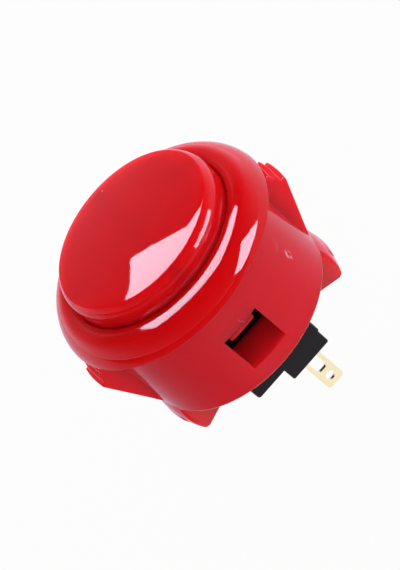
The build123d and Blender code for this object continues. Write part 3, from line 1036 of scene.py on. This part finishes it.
panel("overhead_gloss", OVERHEAD, OVERHEAD_RADIANCE, COOL, True)
side_corners = upright(SIDE_PLACE, PHOTO_UP, SIDE_SIZE)
low_corners = upright(LOW_PLACE, STRAIGHT_UP, LOW_SIZE)
side_light = panel("side_gloss", side_corners, SIDE_RADIANCE, COOL, True)
low_light = panel("side_gloss_low", low_corners, SIDE_RADIANCE, COOL, True)
link_plunger(side_light, "EXCLUDE")
link_plunger(low_light, "INCLUDE")
for name, (turn, radiance) in TENT_WALLS.items():
    panel(name, wall(turn), radiance, WHITE, False)
panel("tent_roof", TENT_ROOF, ROOF_RADIANCE, WHITE, False)


# Dark surroundings laid on the floor, which only mirror-like surfaces see: the share of the
# floor that shows by turn from +Y towards +X in degrees, and by distance to the front left
VEIL_TURN = (
    (-180, 0.50), (-166, 0.54), (-150, 0.35), (-134, 0.22), (-108, 0.19),
    (-80, 0.34), (-50, 0.80), (-20, 1.0), (40, 1.0), (53, 1.0),
    (88, 0.64), (107, 0.55), (129, 0.48), (165, 0.47), (180, 0.50),
)
VEIL_FALL = ((0.0, 1.0), (0.05, 1.0), (0.065, 0.7), (0.085, 0.3), (0.11, 0.12), (0.25, 0.05), (0.6, 0.03))
VEIL_START = (0.036, 0.042)
VEIL_BLACK = (0.01, 0.01, 0.01, 1.0)
VEIL_REACH = 1.5
VEIL_LEVEL = -0.0301
FRONT_LEFT = Vector((-0.45, -0.89, 0.0))
TINT = (0.90, 0.82, 1.0)

# Paper on the floor, which the camera and reflections see nearly white all over
PAPER_REACH = 4.0
PAPER_LEVEL = -0.0302
PAPER_GREY = (0.5, 0.5, 0.5, 1.0)
PAPER_WHITE_SHARE = 0.96

# Surroundings: a pale band low down behind the object, dark above and behind the camera
SKY_RISE = ((0.0, 1.6), (0.17, 1.45), (0.34, 0.85), (0.50, 0.36), (0.60, 0.25), (0.70, 0.05))
SKY_TURN = ((0.0, 0.05), (0.1, 0.06), (0.35, 0.15), (0.58, 0.36), (0.75, 0.52), (0.92, 0.95))


def floor_sheet(name, reach, level, material):
    """A flat square sheet at a height, with one material."""
    mesh = bpy.data.meshes.new(name)
    corners = [(reach * x, reach * y, level) for x, y in ((-1, -1), (1, -1), (1, 1), (-1, 1))]
    mesh.from_pydata(corners, [], [(0, 1, 2, 3)])
    mesh.materials.append(material)
    sheet = bpy.data.objects.new(name, mesh)
    bpy.context.scene.collection.objects.link(sheet)
    return sheet


def veil_black():
    """Black that covers more or less of the floor, and a tint on what shows."""
    s = Shader("floor_veil")
    s.set(Base_Color=VEIL_BLACK, Specular_IOR_Level=0.0)
    flat = s.add("ShaderNodeSeparateXYZ", {0: s.place})
    turn = s.math("ARCTAN2", flat.outputs["X"], flat.outputs["Y"])
    turn_stops = [(0.5 + degree / 360, share) for degree, share in VEIL_TURN]
    by_turn = s.levels(s.ramp(turn, -pi, pi, 0.0, 1.0), turn_stops)
    ahead = s.add("ShaderNodeVectorMath", {0: s.place}, operation="DOT_PRODUCT")
    ahead.inputs[1].default_value = FRONT_LEFT
    furthest = VEIL_FALL[-1][0]
    fall_stops = [(distance / furthest, share) for distance, share in VEIL_FALL]
    by_fall = s.levels(s.ramp(ahead.outputs["Value"], 0.0, furthest, 0.0, 1.0), fall_stops)
    shown = s.math("MULTIPLY", by_turn, by_fall)
    away = s.add("ShaderNodeVectorMath", {0: s.place}, operation="LENGTH").outputs["Value"]
    beyond = s.ramp(away, *VEIL_START, 0.0, 1.0)
    hidden = s.add("ShaderNodeMath", {1: shown}, operation="SUBTRACT", Value=1.0).outputs[0]
    cover = s.math("MULTIPLY", hidden, beyond)
    clear = s.add("ShaderNodeBsdfTransparent", {"Color": s.blend(beyond, WHITE, TINT)})
    s.show(s.add("ShaderNodeMixShader", {0: cover, 1: clear.outputs[0], 2: s.surface.outputs[0]}))
    return s.material


def floor_paper():
    """Grey paper to the lights, nearly white to the eye, and clear from below."""
    s = Shader("floor_paper")
    s.set(Base_Color=PAPER_GREY, Roughness=0.9, Specular_IOR_Level=0.0)
    rays = s.add("ShaderNodeLightPath").outputs
    seen = s.math("MAXIMUM", rays["Is Camera Ray"], rays["Is Glossy Ray"])
    seen = s.math("MAXIMUM", seen, rays["Is Transmission Ray"])
    share = s.add("ShaderNodeMath", {0: seen}, operation="MULTIPLY")
    share.inputs[1].default_value = PAPER_WHITE_SHARE
    glow = s.add("ShaderNodeEmission")
    paper = s.add(
        "ShaderNodeMixShader", {0: share.outputs[0], 1: s.surface.outputs[0], 2: glow.outputs[0]}
    )
    below = s.add("ShaderNodeNewGeometry").outputs["Backfacing"]
    clear = s.add("ShaderNodeBsdfTransparent")
    s.show(s.add("ShaderNodeMixShader", {0: below, 1: paper.outputs[0], 2: clear.outputs[0]}))
    return s.material


def surroundings():
    """The world round the object, white to the camera."""
    world = bpy.context.scene.world or bpy.data.worlds.new("World")
    bpy.context.scene.world = world
    world.use_nodes = True
    sky = Nodes(world.node_tree)
    ray = sky.add("ShaderNodeTexCoord").outputs["Generated"]
    split = sky.add("ShaderNodeSeparateXYZ", {"Vector": ray})
    by_rise = sky.levels(split.outputs["Z"], SKY_RISE)
    by_turn = sky.levels(sky.ramp(split.outputs["Y"], -1.0, 1.0, 0.0, 1.0), SKY_TURN, TINT)
    both = sky.add("ShaderNodeMix", data_type="RGBA", blend_type="MULTIPLY")
    both.inputs[MIX_SHARE].default_value = 1.0
    sky.tree.links.new(by_rise, both.inputs[MIX_FIRST])
    sky.tree.links.new(by_turn, both.inputs[MIX_SECOND])
    seen = sky.add("ShaderNodeLightPath").outputs["Is Camera Ray"]
    background = sky.tree.nodes["Background"]
    sky.tree.links.new(sky.blend(seen, both.outputs[MIX_RESULT], WHITE), background.inputs["Color"])
    background.inputs["Strength"].default_value = 1.0


veil = floor_sheet("floor_veil", VEIL_REACH, VEIL_LEVEL, veil_black())
veil.visible_camera = False
veil.visible_diffuse = False
veil.visible_transmission = False
veil.visible_shadow = False
surroundings()
floor_sheet("floor", PAPER_REACH, PAPER_LEVEL, floor_paper())


# Camera at the photograph's angle, aimed a little to the right of and below the origin
ELEVATION = radians(35.06)
AZIMUTH = radians(2.4)
ROLL = radians(50.11)
DISTANCE = 0.400
AIM_RIGHT = 4.567
AIM_BELOW = 3.62
LENS = 200.2
SENSOR = 36.0
CLIP_START = 0.01


def aimed(eye, target, up):
    """A turn for a camera at the eye, its -Z axis towards the target."""
    back = (eye - target).normalized()
    right = up.cross(back).normalized()
    return Matrix((right, back.cross(right), back)).transposed().to_4x4()


def photo_camera():
    """The camera, rolled as in the photograph."""
    back = Vector((sin(AZIMUTH) * cos(ELEVATION), -cos(AZIMUTH) * cos(ELEVATION), sin(ELEVATION)))
    right = Vector((cos(AZIMUTH), sin(AZIMUTH), 0.0))
    up = back.cross(right)
    image_right = cos(ROLL) * right - sin(ROLL) * up
    image_up = sin(ROLL) * right + cos(ROLL) * up
    target = image_right * AIM_RIGHT * MM - image_up * AIM_BELOW * MM
    lens = bpy.data.cameras.new("camera")
    lens.lens = LENS
    lens.sensor_width = SENSOR
    lens.clip_start = CLIP_START
    camera = bpy.data.objects.new("camera", lens)
    bpy.context.scene.collection.objects.link(camera)
    eye = back * DISTANCE
    camera.matrix_world = Matrix.Translation(eye) @ aimed(eye, target, image_up)
    return camera


bpy.context.scene.camera = photo_camera()
bpy.context.scene.view_settings.view_transform = "Standard"
